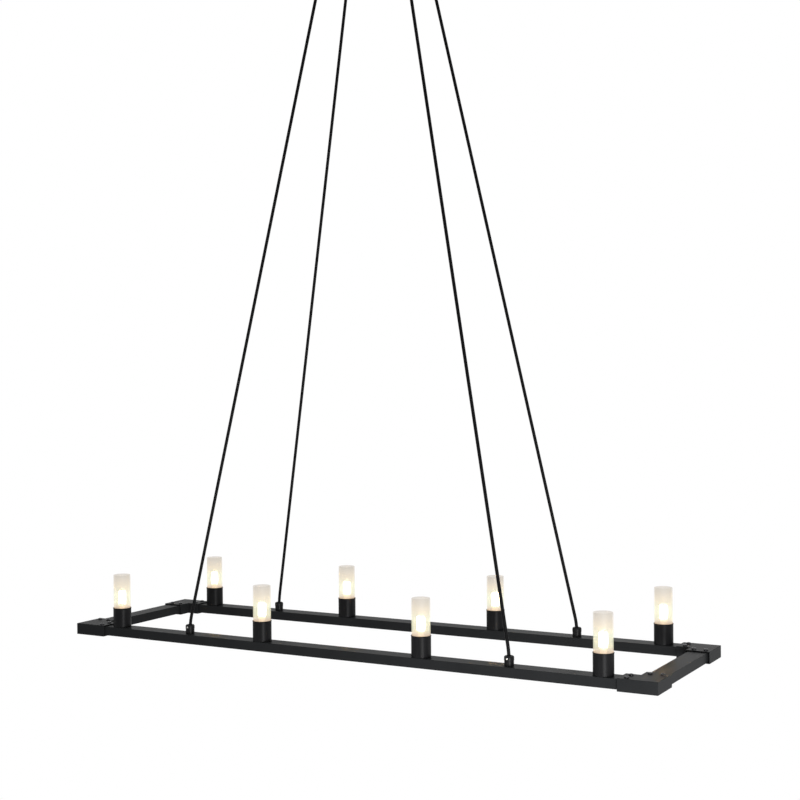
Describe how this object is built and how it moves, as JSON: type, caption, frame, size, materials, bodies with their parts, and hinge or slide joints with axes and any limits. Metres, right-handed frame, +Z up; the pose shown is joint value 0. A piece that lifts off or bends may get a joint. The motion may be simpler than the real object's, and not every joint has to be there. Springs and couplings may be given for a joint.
{
  "type": "linear island pendant light",
  "caption": "Long rectangular black tube frame hung on converging cords, with upright frosted glass cylinder lamps in black cups along both long rails.",
  "frame": {"origin": "middle of the ceiling bracket, on the plane of the ceiling", "axes": "+X along the long rails, +Y across to the rear rail, +Z up to the ceiling; the frame hangs at negative Z"},
  "size_m": [1.4, 0.4, 1.5325],
  "materials": {
    "frame_paint": "fine-textured black powder coat, matt",
    "cup_paint": "satin black paint on turned metal",
    "dark_steel": "blackened steel",
    "gland_black": "satin black",
    "bright_steel": "plain steel",
    "zinc_steel": "zinc plated",
    "terminal_plastic": "moulded",
    "lampholder_ceramic": "unglazed",
    "frosted_glass": "acid-etched outside, polished rim",
    "bulb_glass": "clear capsule, lit",
    "cord_black": "smooth black cable jacket"
  },
  "bodies": {
    "canopy": {"ceiling_bracket": "zinc_steel", "canopy_cover": "frame_paint", "canopy_studs": "zinc_steel", "canopy_cap_nuts": "gland_black", "canopy_cord_grips": "gland_black", "canopy_grip_nuts": "zinc_steel", "terminal_block": "terminal_plastic"},
    "frame": {"front_rail": "frame_paint", "rear_rail": "frame_paint", "left_end_tube": "frame_paint", "right_end_tube": "frame_paint", "corner_sleeve_front_left": "frame_paint", "corner_sleeve_front_right": "frame_paint", "corner_sleeve_rear_left": "frame_paint", "corner_sleeve_rear_right": "frame_paint", "corner_screws": "dark_steel", "lamp_cup_front_1": "cup_paint", "lamp_cup_front_2": "cup_paint", "lamp_cup_front_3": "cup_paint", "lamp_cup_front_4": "cup_paint", "lamp_cup_rear_1": "cup_paint", "lamp_cup_rear_2": "cup_paint", "lamp_cup_rear_3": "cup_paint", "lamp_cup_rear_4": "cup_paint", "lampholder_front_1": "lampholder_ceramic", "lampholder_front_2": "lampholder_ceramic", "lampholder_front_3": "lampholder_ceramic", "lampholder_front_4": "lampholder_ceramic", "lampholder_rear_1": "lampholder_ceramic", "lampholder_rear_2": "lampholder_ceramic", "lampholder_rear_3": "lampholder_ceramic", "lampholder_rear_4": "lampholder_ceramic", "lamp_nipples": "dark_steel", "rail_lock_nuts": "dark_steel", "frame_gland_front_left": "gland_black", "frame_gland_front_right": "gland_black", "frame_gland_rear_left": "gland_black", "frame_gland_rear_right": "gland_black", "gland_clamp_nuts": "gland_black", "gland_set_screws": "bright_steel", "cord_front_left": "cord_black", "cord_front_right": "cord_black", "cord_rear_left": "cord_black", "cord_rear_right": "cord_black"},
    "shade_front_1": {"glass_shade_front_1": "frosted_glass"},
    "bulb_front_1": {"bulb_front_1": "bulb_glass"},
    "shade_front_2": {"glass_shade_front_2": "frosted_glass"},
    "bulb_front_2": {"bulb_front_2": "bulb_glass"},
    "shade_front_3": {"glass_shade_front_3": "frosted_glass"},
    "bulb_front_3": {"bulb_front_3": "bulb_glass"},
    "shade_front_4": {"glass_shade_front_4": "frosted_glass"},
    "bulb_front_4": {"bulb_front_4": "bulb_glass"},
    "shade_rear_1": {"glass_shade_rear_1": "frosted_glass"},
    "bulb_rear_1": {"bulb_rear_1": "bulb_glass"},
    "shade_rear_2": {"glass_shade_rear_2": "frosted_glass"},
    "bulb_rear_2": {"bulb_rear_2": "bulb_glass"},
    "shade_rear_3": {"glass_shade_rear_3": "frosted_glass"},
    "bulb_rear_3": {"bulb_rear_3": "bulb_glass"},
    "shade_rear_4": {"glass_shade_rear_4": "frosted_glass"},
    "bulb_rear_4": {"bulb_rear_4": "bulb_glass"}
  },
  "joints": [
    {"name": "frame_sway", "type": "hinge", "parent": "canopy", "child": "frame", "pos_m": [0, 0, 0.596], "axis": [1, 0, 0], "range_deg": [-3, 3], "deforming": ["cord_front_left", "cord_front_right", "cord_rear_left", "cord_rear_right"]},
    {"name": "shade_lift_front_1", "type": "slide", "parent": "frame", "child": "shade_front_1", "axis": [0, 0, 1], "range_m": [0, 0.09]},
    {"name": "bulb_pull_front_1", "type": "slide", "parent": "frame", "child": "bulb_front_1", "axis": [0, 0, 1], "range_m": [0, 0.012]},
    {"name": "shade_lift_front_2", "type": "slide", "parent": "frame", "child": "shade_front_2", "axis": [0, 0, 1], "range_m": [0, 0.09]},
    {"name": "bulb_pull_front_2", "type": "slide", "parent": "frame", "child": "bulb_front_2", "axis": [0, 0, 1], "range_m": [0, 0.012]},
    {"name": "shade_lift_front_3", "type": "slide", "parent": "frame", "child": "shade_front_3", "axis": [0, 0, 1], "range_m": [0, 0.09]},
    {"name": "bulb_pull_front_3", "type": "slide", "parent": "frame", "child": "bulb_front_3", "axis": [0, 0, 1], "range_m": [0, 0.012]},
    {"name": "shade_lift_front_4", "type": "slide", "parent": "frame", "child": "shade_front_4", "axis": [0, 0, 1], "range_m": [0, 0.09]},
    {"name": "bulb_pull_front_4", "type": "slide", "parent": "frame", "child": "bulb_front_4", "axis": [0, 0, 1], "range_m": [0, 0.012]},
    {"name": "shade_lift_rear_1", "type": "slide", "parent": "frame", "child": "shade_rear_1", "axis": [0, 0, 1], "range_m": [0, 0.09]},
    {"name": "bulb_pull_rear_1", "type": "slide", "parent": "frame", "child": "bulb_rear_1", "axis": [0, 0, 1], "range_m": [0, 0.012]},
    {"name": "shade_lift_rear_2", "type": "slide", "parent": "frame", "child": "shade_rear_2", "axis": [0, 0, 1], "range_m": [0, 0.09]},
    {"name": "bulb_pull_rear_2", "type": "slide", "parent": "frame", "child": "bulb_rear_2", "axis": [0, 0, 1], "range_m": [0, 0.012]},
    {"name": "shade_lift_rear_3", "type": "slide", "parent": "frame", "child": "shade_rear_3", "axis": [0, 0, 1], "range_m": [0, 0.09]},
    {"name": "bulb_pull_rear_3", "type": "slide", "parent": "frame", "child": "bulb_rear_3", "axis": [0, 0, 1], "range_m": [0, 0.012]},
    {"name": "shade_lift_rear_4", "type": "slide", "parent": "frame", "child": "shade_rear_4", "axis": [0, 0, 1], "range_m": [0, 0.09]},
    {"name": "bulb_pull_rear_4", "type": "slide", "parent": "frame", "child": "bulb_rear_4", "axis": [0, 0, 1], "range_m": [0, 0.012]}
  ]
}
